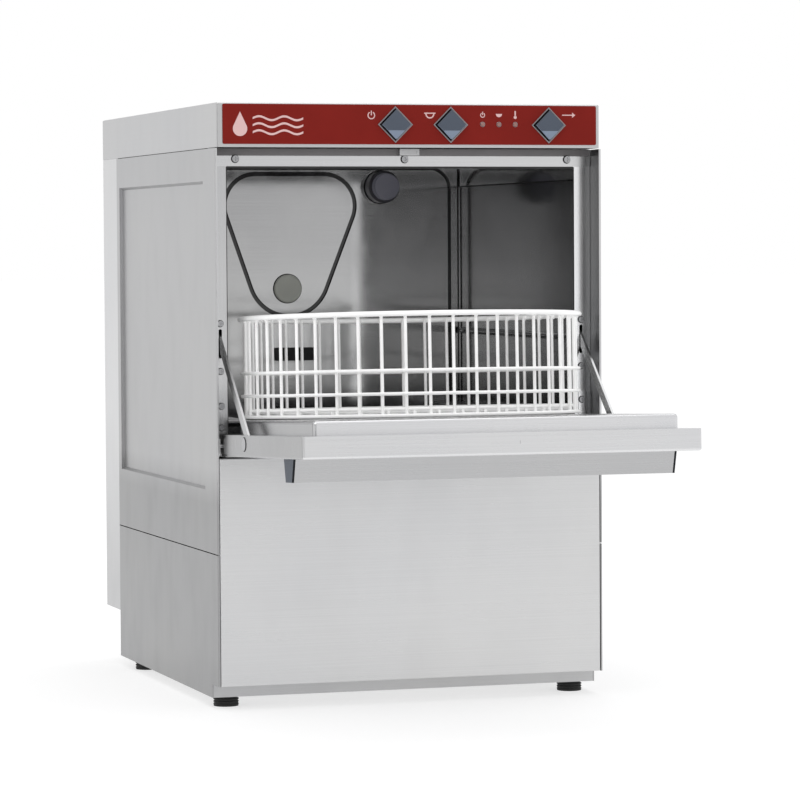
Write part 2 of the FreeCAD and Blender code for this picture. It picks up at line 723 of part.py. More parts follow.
def door_outer():
    """Outer door pan with an inward flange."""
    pan = block(-DOOR_HALF_WIDTH, DOOR_HALF_WIDTH, DOOR_FRONT, DOOR_BACK, DOOR_OUTER_Z, DOOR_INNER_Z)
    pan = rounded_edges(pan, 2.5, lambda c, b: c.z < DOOR_OUTER_Z + 0.1 or b.ZLength > 20)
    inside = DOOR_HALF_WIDTH - 1.2
    hollow = block(-inside, inside, DOOR_FRONT + 1.2, DOOR_BACK - 1.2, DOOR_OUTER_Z + 1.2, DOOR_INNER_Z - 1.2)
    window = block(-200, 200, -298, -14, DOOR_INNER_Z - 2, DOOR_INNER_Z + 1)
    recess = block(-17, 17, DOOR_FRONT - 1, DOOR_FRONT + 0.5, 301.4, 304.9)
    slot = block(STAY_IN - 1.4, STAY_OUT + 1.4, STAY_PIN_Y - 10.5, STAY_PIN_Y + 21.5,
                 DOOR_INNER_Z - 2, DOOR_INNER_Z + 1)
    return tilted(cut_all(pan, [hollow, window, recess] + both_sides(slot)))


def door_liner():
    """Raised inner pan of the door."""
    pan = block(-209, 209, -306, -6, DOOR_INNER_Z, LINER_TOP_Z)
    pan = rounded_edges(pan, 4.0, lambda c, b: c.z > LINER_TOP_Z - 0.1 or b.ZLength > 10)
    hollow = block(-207.6, 207.6, -304.6, -7.4, DOOR_INNER_Z - 1, LINER_TOP_Z - 1.4)
    hollow = rounded_edges(hollow, 2.6, lambda c, b: c.z > LINER_TOP_Z - 1.6 or b.ZLength > 10)
    return tilted(pan.cut(hollow))


def handle_outline():
    """Outline of the handle in the Y-Z plane, below the door."""
    return [(-270, DOOR_OUTER_Z), (-262, HANDLE_BOTTOM), (-238, HANDLE_BOTTOM), (-232, DOOR_OUTER_Z)]


def handle_profile():
    """Folded sheet handle, open towards the hinge."""
    low = HANDLE_BOTTOM
    end = HANDLE_HALF_WIDTH - HANDLE_CAP
    outline = [(-270, DOOR_OUTER_Z), (-262, low), (-238, low), (-236.6, low + 6), (-238.1, low + 6),
               (-239.2, low + 1.5), (-260.8, low + 1.5), (-268.4, DOOR_OUTER_Z)]
    return tilted(slab_yz(outline, -end, end))


def handle_caps():
    """Two end caps of the handle."""
    cap = slab_yz(handle_outline(), HANDLE_HALF_WIDTH - HANDLE_CAP, HANDLE_HALF_WIDTH)
    return [tilted(piece) for piece in both_sides(cap)]


def door_pins():
    """Hinge pins outside the door; stay pins inside its pan, each with a flat rivet disc outside."""
    hinge = rod((DOOR_HALF_WIDTH, PIVOT_Y, PIVOT_Z), (232.0, PIVOT_Y, PIVOT_Z), 3.0)
    shank = rod((218.6, STAY_PIN_Y, STAY_PIN_Z), (DOOR_HALF_WIDTH - 1.2, STAY_PIN_Y, STAY_PIN_Z), 2.5)
    head = rod((217.8, STAY_PIN_Y, STAY_PIN_Z), (219.4, STAY_PIN_Y, STAY_PIN_Z), 4.2)
    pin = fuse_all([shank, head])
    disc = rod((DOOR_HALF_WIDTH, STAY_PIN_Y, STAY_PIN_Z), (DOOR_HALF_WIDTH + 0.8, STAY_PIN_Y, STAY_PIN_Z), 7.4)
    return [tilted(piece) for piece in both_sides(hinge) + both_sides(pin) + both_sides(disc)]


def stay_pin_at_rest():
    """Y and Z of the stay pin with the door at rest."""
    angle = math.radians(OPEN_TILT)
    dy = STAY_PIN_Y - PIVOT_Y
    dz = STAY_PIN_Z - PIVOT_Z
    return (PIVOT_Y + dy * math.cos(angle) + dz * math.sin(angle),
            PIVOT_Z - dy * math.sin(angle) + dz * math.cos(angle))


def door_stay():
    """Right flat stay bar, from the pin inside the door pan up through the frame slot."""
    y, z = stay_pin_at_rest()
    far = y + STAY_LENGTH - 6
    bar = block(STAY_IN, STAY_OUT, y, far, z - 6, z + 6)
    ends = [rod((STAY_IN, end, z), (STAY_OUT, end, z), 6) for end in (y, far)]
    bar = fuse_all([bar] + ends).cut(rod((STAY_IN - 1, y, z), (STAY_OUT + 1, y, z), 2.56))
    return turned(bar, 41.45, (0, y, z), (1, 0, 0))


# ---------------------------------------------------------------- rack

def racked(shape):
    """Rack pieces lie at the slope of the open door."""
    return turned(shape, -OPEN_TILT, (0, RACK_Y, RACK_BOTTOM + WIRE_R), (1, 0, 0))


def rack_rim():
    """Thick top ring of the rack."""
    return racked(ring(UPRIGHT_CIRCLE + WIRE_R + 3.0, 3.0, (0, RACK_Y, RACK_RIM_Z)))


def rack_rings():
    """Thinner rings outside the uprights, and one inside over the floor wires."""
    outer = UPRIGHT_CIRCLE + WIRE_R + 1.9
    heights = (RACK_BOTTOM + 52.0, RACK_BOTTOM + 26.0, RACK_BOTTOM + 1.9)
    result = [ring(outer, 1.9, (0, RACK_Y, z)) for z in heights]
    result.append(ring(UPRIGHT_CIRCLE - WIRE_R - 1.9, 1.9, (0, RACK_Y, RACK_BOTTOM + 9.1)))
    return [racked(piece) for piece in result]


def rack_uprights():
    """Evenly spaced vertical wires."""
    wires = []
    for index in range(UPRIGHT_COUNT):
        angle = 2 * math.pi * index / UPRIGHT_COUNT + math.radians(UPRIGHT_TURN)
        x = UPRIGHT_CIRCLE * math.cos(angle)
        y = RACK_Y + UPRIGHT_CIRCLE * math.sin(angle)
        wires.append(rod((x, y, RACK_BOTTOM + 0.4), (x, y, RACK_RIM_Z + 1.5), WIRE_R))
    return [racked(wire) for wire in wires]


def floor_wire_reach(offset):
    """Half length of a floor wire at a distance from the rack's centre line."""
    return math.sqrt((UPRIGHT_CIRCLE - 2.0) ** 2 - (abs(offset) + WIRE_R) ** 2)


def rack_floor():
    """Crossed floor wires; the middle cross wire is a separate piece."""
    wires = []
    for index in (-3, -2, -1, 1, 2, 3):
        offset = index * 50.0
        reach = floor_wire_reach(offset)
        wires.append(rod((-reach, RACK_Y + offset, RACK_BOTTOM + WIRE_R),
                         (reach, RACK_Y + offset, RACK_BOTTOM + WIRE_R), WIRE_R))
    for index in range(-6, 7):
        offset = index * 27.0
        reach = floor_wire_reach(offset)
        z = RACK_BOTTOM + 3 * WIRE_R
        wires.append(rod((offset, RACK_Y - reach, z), (offset, RACK_Y + reach, z), WIRE_R))
    return [racked(wire) for wire in wires]


def rack_bar():
    """Middle cross wire of the rack floor."""
    z = RACK_BOTTOM + WIRE_R
    return rod((-189.8, RACK_Y, z), (189.8, RACK_Y, z), 1.7)


write("base_chassis", base_chassis())
write("feet", feet())
write("lower_side_panel_right", lower_side_panel())
write("lower_side_panel_left", mirrored(lower_side_panel()))
write("upper_side_panel_right", upper_side_panel())
write("upper_side_panel_left", mirrored(upper_side_panel()))
write("front_panel", front_panel())
write("rear_panel", rear_panel())
write("rear_cover", rear_cover())
write("hood", hood())
write("control_label", control_label())
write("label_marks", label_marks())
write("button_frames", button_frames())
write("switch_block", switch_block())
write("pilot_lights", pilot_lights())
write("front_frame", front_frame())
write("top_rail", top_rail())
write("mouth_seal", mouth_seal())
write("frame_screws", frame_screws())
write("door_catch", door_catch())
write("hinge_brackets", hinge_brackets())
write("tank_side_right", tank_side())
write("tank_side_left", mirrored(tank_side()))
write("tank_back", tank_back())
write("tank_ceiling", tank_ceiling())
write("tank_floor", tank_floor())
write("wall_plug", wall_plug())
write("wall_cap", wall_cap())
write("level_sensor", level_sensor())
write("rack_rails", rack_rails())
write("filter_plates", filter_plates())
write("suction_filter", suction_filter())
write("arm_hub", arm_hub())
write("hub_cap", hub_cap())
write("tank_heater", tank_heater())
write("boiler", boiler())
write("wash_pump_motor", wash_pump_motor())
write("wash_pump_volute", wash_pump_volute())
write("hoses", hoses())
write("inlet_valve", inlet_valve())
write("drain_outlet", drain_outlet())
write("cable_gland", cable_gland())
write("button_power", push_button(BUTTON_X[0]))
write("button_program", push_button(BUTTON_X[1]))
write("button_start", push_button(BUTTON_X[2]))
write("wash_arm", wash_arm())
write("rinse_arm", rinse_arm())
write("overflow_pipe", overflow_pipe())
write("door_outer", door_outer())
write("door_liner", door_liner())
write("handle_profile", handle_profile())
write("handle_caps", handle_caps())
write("door_pins", door_pins())
write("stay_right", door_stay())
write("stay_left", mirrored(door_stay()))
write("rack_rim", rack_rim())
write("rack_rings", rack_rings())
write("rack_uprights", rack_uprights())
write("rack_floor", rack_floor())
write("rack_bar", rack_bar())
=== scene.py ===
import math

import bmesh
import bpy
from mathutils import Matrix, Vector


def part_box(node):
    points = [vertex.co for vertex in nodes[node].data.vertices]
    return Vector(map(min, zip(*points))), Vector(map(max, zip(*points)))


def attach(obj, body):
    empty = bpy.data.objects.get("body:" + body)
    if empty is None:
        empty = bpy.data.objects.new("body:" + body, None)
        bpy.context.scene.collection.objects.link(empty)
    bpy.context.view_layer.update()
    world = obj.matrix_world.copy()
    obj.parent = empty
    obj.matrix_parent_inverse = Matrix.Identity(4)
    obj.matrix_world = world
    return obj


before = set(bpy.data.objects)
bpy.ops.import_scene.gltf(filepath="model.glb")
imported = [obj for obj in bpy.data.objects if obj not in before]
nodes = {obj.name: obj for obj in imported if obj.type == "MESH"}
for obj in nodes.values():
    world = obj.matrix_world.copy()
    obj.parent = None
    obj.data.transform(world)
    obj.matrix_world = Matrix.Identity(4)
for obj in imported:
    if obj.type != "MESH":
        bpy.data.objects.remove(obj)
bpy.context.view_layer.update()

MM = 0.001
CABINET = "cabinet"
RACK = "rack"
DOOR = "door"

# Grain directions of brushed steel: large values run across the brush lines.
ALONG_X = (5.0, 1300.0, 1300.0)
ALONG_Y = (1300.0, 5.0, 1300.0)
ALONG_Z = (1300.0, 1300.0, 5.0)
NO_GRAIN = (320.0, 320.0, 320.0)

# The axes that rings and turned pieces stand on.
SIDEWAYS = (1, 0, 0)
BACKWARDS = (0, 1, 0)
FORWARDS = (0, -1, 0)
UPWARDS = (0, 0, 1)


# ---------------------------------------------------------------- material nodes

def new_material(name):
    """Empty node material with a Principled shader."""
    material = bpy.data.materials.new(name)
    material.use_nodes = True
    tree = material.node_tree
    return material, tree, tree.nodes["Principled BSDF"]


def object_coords(tree):
    """Place of the shaded point in the model's own frame."""
    return tree.nodes.new("ShaderNodeTexCoord").outputs["Object"]


def add_noise(tree, scale, detail=3.0, stretch=(1.0, 1.0, 1.0)):
    """Noise in object space, stretched per axis."""
    mapping = tree.nodes.new("ShaderNodeMapping")
    mapping.inputs["Scale"].default_value = stretch
    noise = tree.nodes.new("ShaderNodeTexNoise")
    noise.inputs["Scale"].default_value = scale
    noise.inputs["Detail"].default_value = detail
    tree.links.new(object_coords(tree), mapping.inputs["Vector"])
    tree.links.new(mapping.outputs["Vector"], noise.inputs["Vector"])
    return noise.outputs["Fac"]


def add_range(tree, value, from_low, from_high, low, high):
    """Map a value from one range to another, clamped."""
    node = tree.nodes.new("ShaderNodeMapRange")
    node.inputs["From Min"].default_value = from_low
    node.inputs["From Max"].default_value = from_high
    node.inputs["To Min"].default_value = low
    node.inputs["To Max"].default_value = high
    tree.links.new(value, node.inputs["Value"])
    return node.outputs["Result"]


def add_math(tree, operation, first, second):
    """Sum, product or other pair operation on two values."""
    node = tree.nodes.new("ShaderNodeMath")
    node.operation = operation
    for socket, value in zip(node.inputs, (first, second)):
        if isinstance(value, float):
            socket.default_value = value
        else:
            tree.links.new(value, socket)
    return node.outputs["Value"]


def add_mix(tree, factor, first, second, blend="MIX"):
    """Blend of two colours, each a triple or a socket."""
    node = tree.nodes.new("ShaderNodeMix")
    node.data_type = "RGBA"
    node.blend_type = blend
    for name, value in (("Factor", factor), ("A", first), ("B", second)):
        socket = node.inputs[name]
        if isinstance(value, tuple):
            socket.default_value = (*value, 1)
        elif isinstance(value, float):
            socket.default_value = value
        else:
            tree.links.new(value, socket)
    return node.outputs["Result"]


def scaled(tree, color, factor):
    """A colour times a plain factor."""
    return add_mix(tree, 1.0, color, (factor,) * 3, "MULTIPLY")


def add_shades(tree, tone, shades):
    """Scale a colour by each factor where its mask is 1: painted shade where the factor is below 1,
    painted light where it is above.
    """
    for mask, factor in shades:
        tone = add_mix(tree, mask(tree), tone, scaled(tree, tone, factor))
    return tone


def mottled(tree, noise, low, high, color, variation):
    """A colour that varies a little as a noise goes from low to high."""
    dark = tuple(part * (1 - variation) for part in color)
    light = tuple(min(1.0, part * (1 + variation)) for part in color)
    return add_mix(tree, add_range(tree, noise, low, high, 0.0, 1.0), dark, light)


def add_part(tree, vector, axis):
    """One component of a vector."""
    node = tree.nodes.new("ShaderNodeSeparateXYZ")
    tree.links.new(vector, node.inputs["Vector"])
    return node.outputs[axis]


def place_mask(tree, axis, start, end):
    """0 at start, 1 at end, along one axis of the model's frame, in metres."""
    return add_range(tree, add_part(tree, object_coords(tree), axis), start, end, 0.0, 1.0)


def facing(tree, axis):
    """One component of the surface direction."""
    return add_part(tree, tree.nodes.new("ShaderNodeTexCoord").outputs["Normal"], axis)


def facing_mask(tree, axis, start, end):
    """0 to 1 as one component of the surface direction goes from start to end."""
    return add_range(tree, facing(tree, axis), start, end, 0.0, 1.0)


def across_mask(tree):
    """1 on faces that look sideways, 0 on faces that look forward, back, up or down."""
    side = facing(tree, "X")
    return add_range(tree, add_math(tree, "MULTIPLY", side, side), 0.3, 0.8, 0.0, 1.0)


def inner_mask(tree):
    """1 on faces over 120 mm from the machine's middle plane that look towards it."""
    across = add_part(tree, object_coords(tree), "X")
    outward = add_math(tree, "MULTIPLY", across, facing(tree, "X"))
    return add_range(tree, outward, -60 * MM, -120 * MM, 0.0, 1.0)


def edge_mask(tree, width):
    """1 near outer edges, 0 on flat faces."""
    bevel = tree.nodes.new("ShaderNodeBevel")
    bevel.samples = 4
    bevel.inputs["Radius"].default_value = width
    geometry = tree.nodes.new("ShaderNodeNewGeometry")
    dot = tree.nodes.new("ShaderNodeVectorMath")
    dot.operation = "DOT_PRODUCT"
    tree.links.new(bevel.outputs["Normal"], dot.inputs[0])
    tree.links.new(geometry.outputs["Normal"], dot.inputs[1])
    return add_range(tree, dot.outputs["Value"], 1.0, 0.85, 0.0, 1.0)


def add_bump(tree, shader, height, strength, distance):
    """Bump from a height value."""
    node = tree.nodes.new("ShaderNodeBump")
    node.inputs["Strength"].default_value = strength
    node.inputs["Distance"].default_value = distance
    tree.links.new(height, node.inputs["Height"])
    tree.links.new(node.outputs["Normal"], shader.inputs["Normal"])


def steel(name, color, rough, grain, contrast=0.04, bump=0.06, edges=0.0, shades=(), rim=1.0):
    """Brushed stainless steel: brush lines, soft clouds, smears and brighter edges, partly wear and
    partly painted highlight.

    shades is a list of (mask builder, factor) pairs that scale the colour where a mask is 1:
    painted shade and painted light.
    rim scales how strongly the steel mirrors at flat angles.
    """
    material, tree, shader = new_material(name)
    fine = add_noise(tree, 1.0, 2.0, grain)
    cloud = add_noise(tree, 4.0, 2.0)
    smear = add_noise(tree, 26.0, 4.0, (1.0, 1.0, 0.45))
    tone = mottled(tree, fine, 0.25, 0.75, color, contrast)
    cool = (0.96, 0.965, 0.975)
    warm = (1.0, 1.0, 0.995)
    tint = add_mix(tree, add_range(tree, cloud, 0.3, 0.7, 0.0, 1.0), cool, warm)
    tone = add_mix(tree, 1.0, tone, tint, "MULTIPLY")
    tone = add_shades(tree, tone, shades)
    # Brighter edges: partly edge wear, partly painted highlight.
    if edges:
        edge_width = 0.8 * MM
        tone = add_mix(tree, edge_mask(tree, edge_width), tone, scaled(tree, tone, 1.0 + edges))
    tree.links.new(tone, shader.inputs["Base Color"])
    shader.inputs["Metallic"].default_value = 1.0
    shader.inputs["Specular Tint"].default_value = (rim, rim, rim, 1)
    lines = add_range(tree, fine, 0.25, 0.75, rough * 0.88, rough * 1.12)
    spots = add_range(tree, smear, 0.45, 0.75, 0.0, 0.045)
    tree.links.new(add_math(tree, "ADD", lines, spots), shader.inputs["Roughness"])
    add_bump(tree, shader, fine, bump, 0.15 * MM)
    return material


def plastic(name, color, rough, scale=900.0, bump=0.12, variation=0.05, coat=0.0, gloss=0.5,
            shades=(), painted_glow=0.0):
    """Moulded plastic, rubber or paint with a fine surface grain and slight mottling.

    painted_glow is a faint even painted light: the plastic glows though it is no lamp.
    """
    material, tree, shader = new_material(name)
    fine = add_noise(tree, scale, 3.0)
    broad = add_noise(tree, 22.0, 2.0)
    tone = add_shades(tree, mottled(tree, broad, 0.3, 0.7, color, variation), shades)
    tree.links.new(tone, shader.inputs["Base Color"])
    grain = add_range(tree, fine, 0.25, 0.75, rough - 0.04, rough + 0.08)
    tree.links.new(grain, shader.inputs["Roughness"])
    shader.inputs["Coat Weight"].default_value = coat
    shader.inputs["Specular IOR Level"].default_value = gloss
    tree.links.new(tone, shader.inputs["Emission Color"])
    shader.inputs["Emission Strength"].default_value = painted_glow
    add_bump(tree, shader, fine, bump, 0.3 * MM)
    return material


# ---------------------------------------------------------------- materials

# Planes and heights that the shades follow.
wall_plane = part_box("tank_back")[0][1]
hood_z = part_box("hood")[0][2]
field_z = 278 * MM
upright_x = 205 * MM


def low_part(tree):
    """1 low on the side panels, 0 high up."""
    return place_mask(tree, "Z", hood_z * 0.85, hood_z * 0.38)


def under_field(tree):
    """1 below the pressed field of the side panels, 0 above its lower edge."""
    return place_mask(tree, "Z", field_z, field_z - 42 * MM)


def cover_foot(tree):
    """1 at the foot of the rear cover."""
    return place_mask(tree, "Z", hood_z * 0.5, hood_z * 0.15)


def in_groove(tree):
    """1 inside the channels pressed into the back wall."""
    return place_mask(tree, "Y", wall_plane + 0.2 * MM, wall_plane + 1.0 * MM)


def chamber_top(tree):
    """1 close under the chamber's roof."""
    return place_mask(tree, "Z", hood_z - 70 * MM, hood_z - 30 * MM)


def right_flange(tree):
    """1 on the front frame's right upright, 0 elsewhere."""
    return place_mask(tree, "X", upright_x, upright_x + 2 * MM)


def right_part(tree):
    """1 towards the right side, 0 in the middle and on the left."""
    return place_mask(tree, "X", 65 * MM, 110 * MM)


def sloping_facet(tree):
    """1 on faces that look a little downwards."""
    return facing_mask(tree, "Z", -0.06, -0.13)


def looks_down(tree):
    """1 on faces that look well downwards."""
    return facing_mask(tree, "Z", -0.3, -0.6)


def looks_up(tree):
    """1 on faces that look well upwards."""
    return facing_mask(tree, "Z", 0.6, 0.8)


def looks_forward(tree):
    """1 on faces that look out of the machine's front."""
    return facing_mask(tree, "Y", -0.6, -0.8)


def button_walls(tree):
    """1 on the walls of a button, 0 on its face."""
    return facing_mask(tree, "Y", -0.8, -0.5)


# Painted shade on inward faces, low down, below the pressed field and on down-facing faces; painted
# light on forward-facing faces.
side_steel = steel("side_steel", (0.485, 0.485, 0.488), 0.34, ALONG_Z, edges=0.12,
                   shades=[(inner_mask, 0.42), (low_part, 0.89), (under_field, 0.69),
                           (looks_down, 0.55), (looks_forward, 1.3)])
# Painted shade on the hood's inward faces.
hood_steel = steel("hood_steel", (0.57, 0.57, 0.573), 0.34, ALONG_Y, edges=0.2,
                   shades=[(inner_mask, 0.3)])
# Painted shade: darker towards the foot of the cover.
cover_steel = steel("cover_steel", (0.70, 0.70, 0.703), 0.36, ALONG_Z,
                    shades=[(cover_foot, 0.74)])
front_steel = steel("front_steel", (0.648, 0.648, 0.65), 0.30, ALONG_X, edges=0.10)
base_steel = steel("base_steel", (0.53, 0.53, 0.533), 0.40, ALONG_X, contrast=0.06)
# Painted reflection: the frame's right upright is lighter.
frame_steel = steel("frame_steel", (0.60, 0.60, 0.605), 0.18, ALONG_Z, contrast=0.03, bump=0.04,
                    shades=[(right_flange, 1.5)])
# Painted shade on the door's sideways faces.
door_steel = steel("door_steel", (0.725, 0.725, 0.73), 0.28, ALONG_X, edges=0.03,
                   shades=[(across_mask, 0.51)])
handle_steel = steel("handle_steel", (0.455, 0.455, 0.46), 0.28, ALONG_X)
# Painted shade on the liner's sideways and upward faces.
liner_steel = steel("liner_steel", (0.75, 0.75, 0.76), 0.24, ALONG_X,
                    shades=[(across_mask, 0.50), (looks_up, 0.72)])
arm_steel = steel("arm_steel", (0.50, 0.50, 0.51), 0.25, ALONG_X)
# Painted shade in the pressed grooves and on sideways faces; painted light on the right part of the
# chamber.
tank_steel = steel("tank_steel", (0.48, 0.48, 0.48), 0.085, ALONG_X, contrast=0.03, bump=0.005,
                   shades=[(in_groove, 0.12), (across_mask, 0.24), (right_part, 1.9)])
# A darker copy of the chamber steel for its side walls: painted shade, and darker still close under
# the roof.
shaded_wall_steel = steel("shaded_wall_steel", (0.10, 0.10, 0.101), 0.13, ALONG_Y, contrast=0.05, bump=0.006,
                   shades=[(chamber_top, 0.8)], rim=0.87)
bright_steel = steel("bright_steel", (0.74, 0.74, 0.75), 0.20, NO_GRAIN, contrast=0.03, bump=0.05)
screw_steel = steel("screw_steel", (0.42, 0.42, 0.43), 0.25, NO_GRAIN, contrast=0.05, bump=0.05)
rail_steel = steel("rail_steel", (0.68, 0.68, 0.685), 0.22, ALONG_X, contrast=0.03, bump=0.04)
catch_steel = steel("catch_steel", (0.58, 0.58, 0.585), 0.35, NO_GRAIN, contrast=0.05)
pin_steel = steel("pin_steel", (0.40, 0.40, 0.41), 0.25, NO_GRAIN, contrast=0.05)
stay_steel = steel("stay_steel", (0.45, 0.45, 0.45), 0.22, ALONG_Y)
zinc = steel("zinc", (0.56, 0.57, 0.58), 0.45, (60.0, 60.0, 60.0), contrast=0.10, bump=0.08)
brass = steel("brass", (0.55, 0.40, 0.16), 0.32, (400.0, 400.0, 400.0))
cast = plastic("cast_housing", (0.16, 0.18, 0.21), 0.45, scale=500.0, bump=0.3)
red_label = plastic("red_label", (0.205, 0.014, 0.010), 0.45, scale=1500.0, bump=0.03,
                    variation=0.05, gloss=0.08)
pale_mark = plastic("pale_mark", (0.74, 0.50, 0.49), 0.5, scale=900.0, bump=0.03, gloss=0.1)
# Painted reflection on the lower sloping facet; painted shade on the button walls.
button_face = plastic("button_face", (0.072, 0.088, 0.118), 0.30, scale=900.0, bump=0.04,
                      variation=0.04, gloss=0.35,
                      shades=[(sloping_facet, 2.9), (button_walls, 0.15)])
bezel = steel("bezel", (0.30, 0.28, 0.29), 0.30, NO_GRAIN, contrast=0.03, bump=0.04)
lamp_lens = plastic("lamp_lens", (0.30, 0.16, 0.14), 0.18, scale=300.0, bump=0.02, variation=0.03,
                    coat=0.4, gloss=0.3)
black_plastic = plastic("black_plastic", (0.016, 0.016, 0.018), 0.45)
# Painted light: the grey plastic and the dark blue knob glow faintly.
grey_plastic = plastic("grey_plastic", (0.44, 0.45, 0.41), 0.42, painted_glow=0.22)
dark_blue = plastic("dark_blue_plastic", (0.15, 0.15, 0.18), 0.36, gloss=0.3, painted_glow=0.22)
cap_shade = plastic("cap_shade", (0.075, 0.075, 0.086), 0.4, gloss=0.3)
# Painted shade: front-facing faces much darker.
blue_grey = plastic("blue_grey_plastic", (0.036, 0.050, 0.074), 0.38, gloss=0.2,
                    shades=[(looks_forward, 0.12)])
# Painted light: the white rack coating glows faintly.
white_coat = plastic("white_coat", (0.92, 0.92, 0.915), 0.32, scale=260.0, bump=0.2,
                     variation=0.02, coat=0.3, painted_glow=0.14)
# Real black rubber, and also the black of strips and rings that are painted shade.
black_rubber_and_shade = plastic("black_rubber_and_shade", (0.011, 0.011, 0.011), 0.65, scale=700.0, bump=0.3)
# Painted shade: the grey of the strip under the hood.
shade_strip_grey = plastic("shade_strip_grey", (0.22, 0.21, 0.215), 0.6, scale=700.0, bump=0.3)
lip_rubber = plastic("lip_rubber", (0.03, 0.03, 0.03), 0.6, scale=700.0, bump=0.3)

MATERIAL_OF = {
    side_steel: ["upper_side_panel_left", "upper_side_panel_right", "lower_side_panel_left",
                 "lower_side_panel_right"],
    hood_steel: ["hood"],
    cover_steel: ["rear_cover"],
    front_steel: ["front_panel"],
    base_steel: ["base_chassis"],
    frame_steel: ["front_frame", "hinge_brackets"],
    door_steel: ["door_outer"],
    handle_steel: ["handle_profile"],
    liner_steel: ["door_liner"],
    arm_steel: ["wash_arm", "suction_filter", "filter_plates", "rack_rails"],
    tank_steel: ["tank_back", "tank_ceiling", "tank_floor"],
    shaded_wall_steel: ["tank_side_left", "tank_side_right"],
    rail_steel: ["top_rail"],
    catch_steel: ["door_catch"],
    screw_steel: ["frame_screws"],
    pin_steel: ["door_pins"],
    bright_steel: ["tank_heater", "rinse_arm"],
    stay_steel: ["stay_left", "stay_right"],
    zinc: ["rear_panel", "boiler"],
    brass: ["inlet_valve"],
    cast: ["wash_pump_motor"],
    red_label: ["control_label"],
    pale_mark: ["label_marks"],
    button_face: ["button_power", "button_program", "button_start"],
    bezel: ["button_frames"],
    lamp_lens: ["pilot_lights"],
    black_plastic: ["switch_block", "level_sensor", "wash_pump_volute", "cable_gland"],
    grey_plastic: ["wall_plug", "arm_hub", "overflow_pipe", "drain_outlet"],
    cap_shade: ["wall_cap"],
    blue_grey: ["handle_caps", "hub_cap"],
    white_coat: ["rack_rim", "rack_rings", "rack_uprights", "rack_floor", "rack_bar"],
    black_rubber_and_shade: ["hoses", "feet"],
    lip_rubber: ["mouth_seal"],
}


def paint_nodes():
    """Give every CAD node its procedural material."""
    for material, names in MATERIAL_OF.items():
        for name in names:
            for slot in nodes[name].material_slots:
                slot.link = "OBJECT"
                slot.material = material


paint_nodes()


# ---------------------------------------------------------------- mesh tools

def finish_piece(name, shape, material, body):
    """Turn a bmesh into a smooth-shaded piece that rides on a body."""
    mesh = bpy.data.meshes.new(name)
    bmesh.ops.recalc_face_normals(shape, faces=shape.faces)
    shape.to_mesh(mesh)
    shape.free()
    for face in mesh.polygons:
        face.use_smooth = True
    mesh.set_sharp_from_angle(angle=math.radians(40))
    mesh.materials.append(material)
    piece = bpy.data.objects.new(name, mesh)
    bpy.context.scene.collection.objects.link(piece)
    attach(piece, body)


def add_bar(shape, low, high, edge):
    """Box between two corners with rounded edges."""
    center = [(a + b) / 2 for a, b in zip(low, high)]
    size = [b - a for a, b in zip(low, high)]
    matrix = Matrix.Translation(center) @ Matrix.Diagonal((*size, 1))
    made = bmesh.ops.create_cube(shape, size=1.0, matrix=matrix)
    edges = list({side for vertex in made["verts"] for side in vertex.link_edges})
    bmesh.ops.bevel(shape, geom=edges, offset=edge, segments=3, affect="EDGES", profile=0.5)


def turn_to(axis):
    """Rotation that takes the upward axis to another one."""
    return Vector(UPWARDS).rotation_difference(Vector(axis)).to_matrix()


def add_turned(shape, outline, base, axis, segments=28):
    """Solid of revolution from (radius, height) points about an axis through base."""
    turn = turn_to(axis)
    rings = []
    for radius, height in outline:
        loop = []
        for index in range(segments):
            angle = 2 * math.pi * index / segments
            local = Vector((radius * math.cos(angle), radius * math.sin(angle), height))
            loop.append(shape.verts.new(Vector(base) + turn @ local))
        rings.append(loop)
    for lower, upper in zip(rings[:-1], rings[1:]):
        for index in range(segments):
            follow = (index + 1) % segments
            shape.faces.new((lower[index], lower[follow], upper[follow], upper[index]))
    shape.faces.new(rings[0])
    shape.faces.new(rings[-1])


def add_ring(shape, center, axis, radius, wire, segments=48, sides=8):
    """Torus about an axis."""
    turn = turn_to(axis)
    loops = []
    for index in range(segments):
        angle = 2 * math.pi * index / segments
        out = Vector((math.cos(angle), math.sin(angle), 0))
        loop = []
        for side in range(sides):
            swing = 2 * math.pi * side / sides
            local = out * (radius + wire * math.cos(swing)) + Vector((0, 0, wire * math.sin(swing)))
            loop.append(shape.verts.new(Vector(center) + turn @ local))
        loops.append(loop)
    for index in range(segments):
        near = loops[index]
        far = loops[(index + 1) % segments]
        for side in range(sides):
            follow = (side + 1) % sides
            shape.faces.new((near[side], far[side], far[follow], near[follow]))


def add_ball(shape, center, radius):
    """Small round blob."""
    place = Matrix.Translation(center)
    bmesh.ops.create_icosphere(shape, subdivisions=2, radius=radius, matrix=place)


def middle(name):
    """Centre of a node's box."""
    low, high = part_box(name)
    return Vector([(a + b) / 2 for a, b in zip(low, high)])


# ---------------------------------------------------------------- added pieces

def hood_shade_strip():
    """Dark grey strip on the front frame, under the hood's front edge: painted shade standing in
    for the shade under the hood.
    """
    low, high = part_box("front_frame")
    rail_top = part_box("top_rail")[1][2]
    thick = 1.4 * MM
    gap = 0.2 * MM
    shape = bmesh.new()
    add_bar(shape, (low[0] + 1.0 * MM, low[1] - thick, rail_top + gap),
            (high[0] - 1.0 * MM, low[1] - 0.02 * MM, high[2] - gap), edge=0.5 * MM)
    finish_piece("hood_shade_strip", shape, shade_strip_grey, CABINET)


